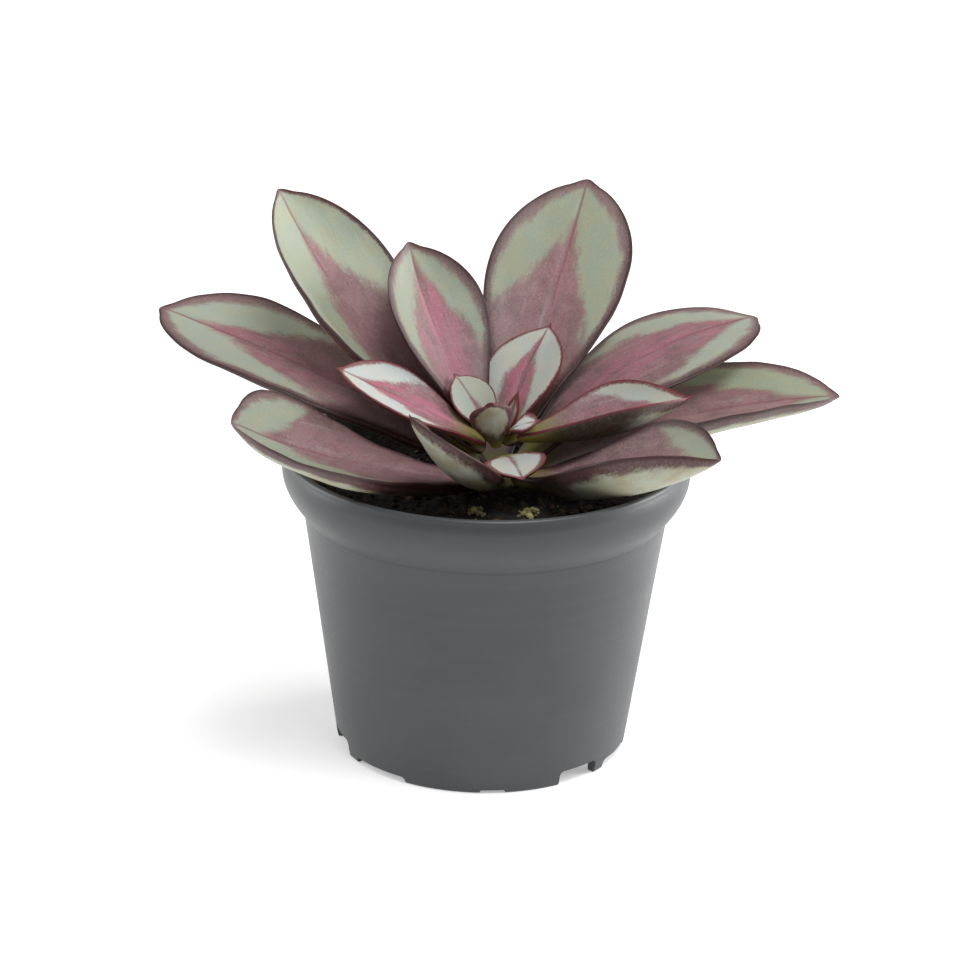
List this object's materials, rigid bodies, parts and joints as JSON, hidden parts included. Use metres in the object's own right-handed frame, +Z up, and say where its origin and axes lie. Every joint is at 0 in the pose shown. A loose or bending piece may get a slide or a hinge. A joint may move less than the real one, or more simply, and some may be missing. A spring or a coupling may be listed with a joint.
{
  "type": "potted succulent",
  "caption": "Variegated rosette succulent with broad mauve and mint leaves, growing in dark potting mix in a grey round nursery pot that flares to a wide rim.",
  "frame": {"origin": "on the pot's axis, in the plane that the pot's foot stands on", "axes": "+Z up along the pot's axis; +X to the right and -Y towards a viewer who faces the folded front leaf"},
  "size_m": [0.1797, 0.1162, 0.1396],
  "materials": {
    "pot_plastic": "satin",
    "potting_mix": "matte",
    "stem_bark": "matte",
    "outer_leaf": "satin",
    "inner_leaf": "satin"
  },
  "bodies": {
    "root": {"pot": "pot_plastic", "potting_mix": "potting_mix", "stem": "stem_bark", "leaf_01_front_left": "outer_leaf", "leaf_02_front_right": "outer_leaf", "leaf_03_left": "outer_leaf", "leaf_04_right": "outer_leaf", "leaf_05_back_right": "outer_leaf", "leaf_06_back_left": "outer_leaf", "leaf_07_back": "outer_leaf", "leaf_08_low_back": "outer_leaf", "leaf_09_middle_back": "outer_leaf", "leaf_10_middle_right": "inner_leaf", "leaf_11_middle_left": "inner_leaf", "leaf_12_middle_centre": "inner_leaf", "leaf_13_front_folded": "inner_leaf", "leaf_14_front_small": "inner_leaf", "leaf_15_inner_left": "inner_leaf", "leaf_16_inner_front": "inner_leaf", "leaf_17_inner_right": "inner_leaf", "leaf_18_heart": "inner_leaf"}
  },
  "joints": []
}
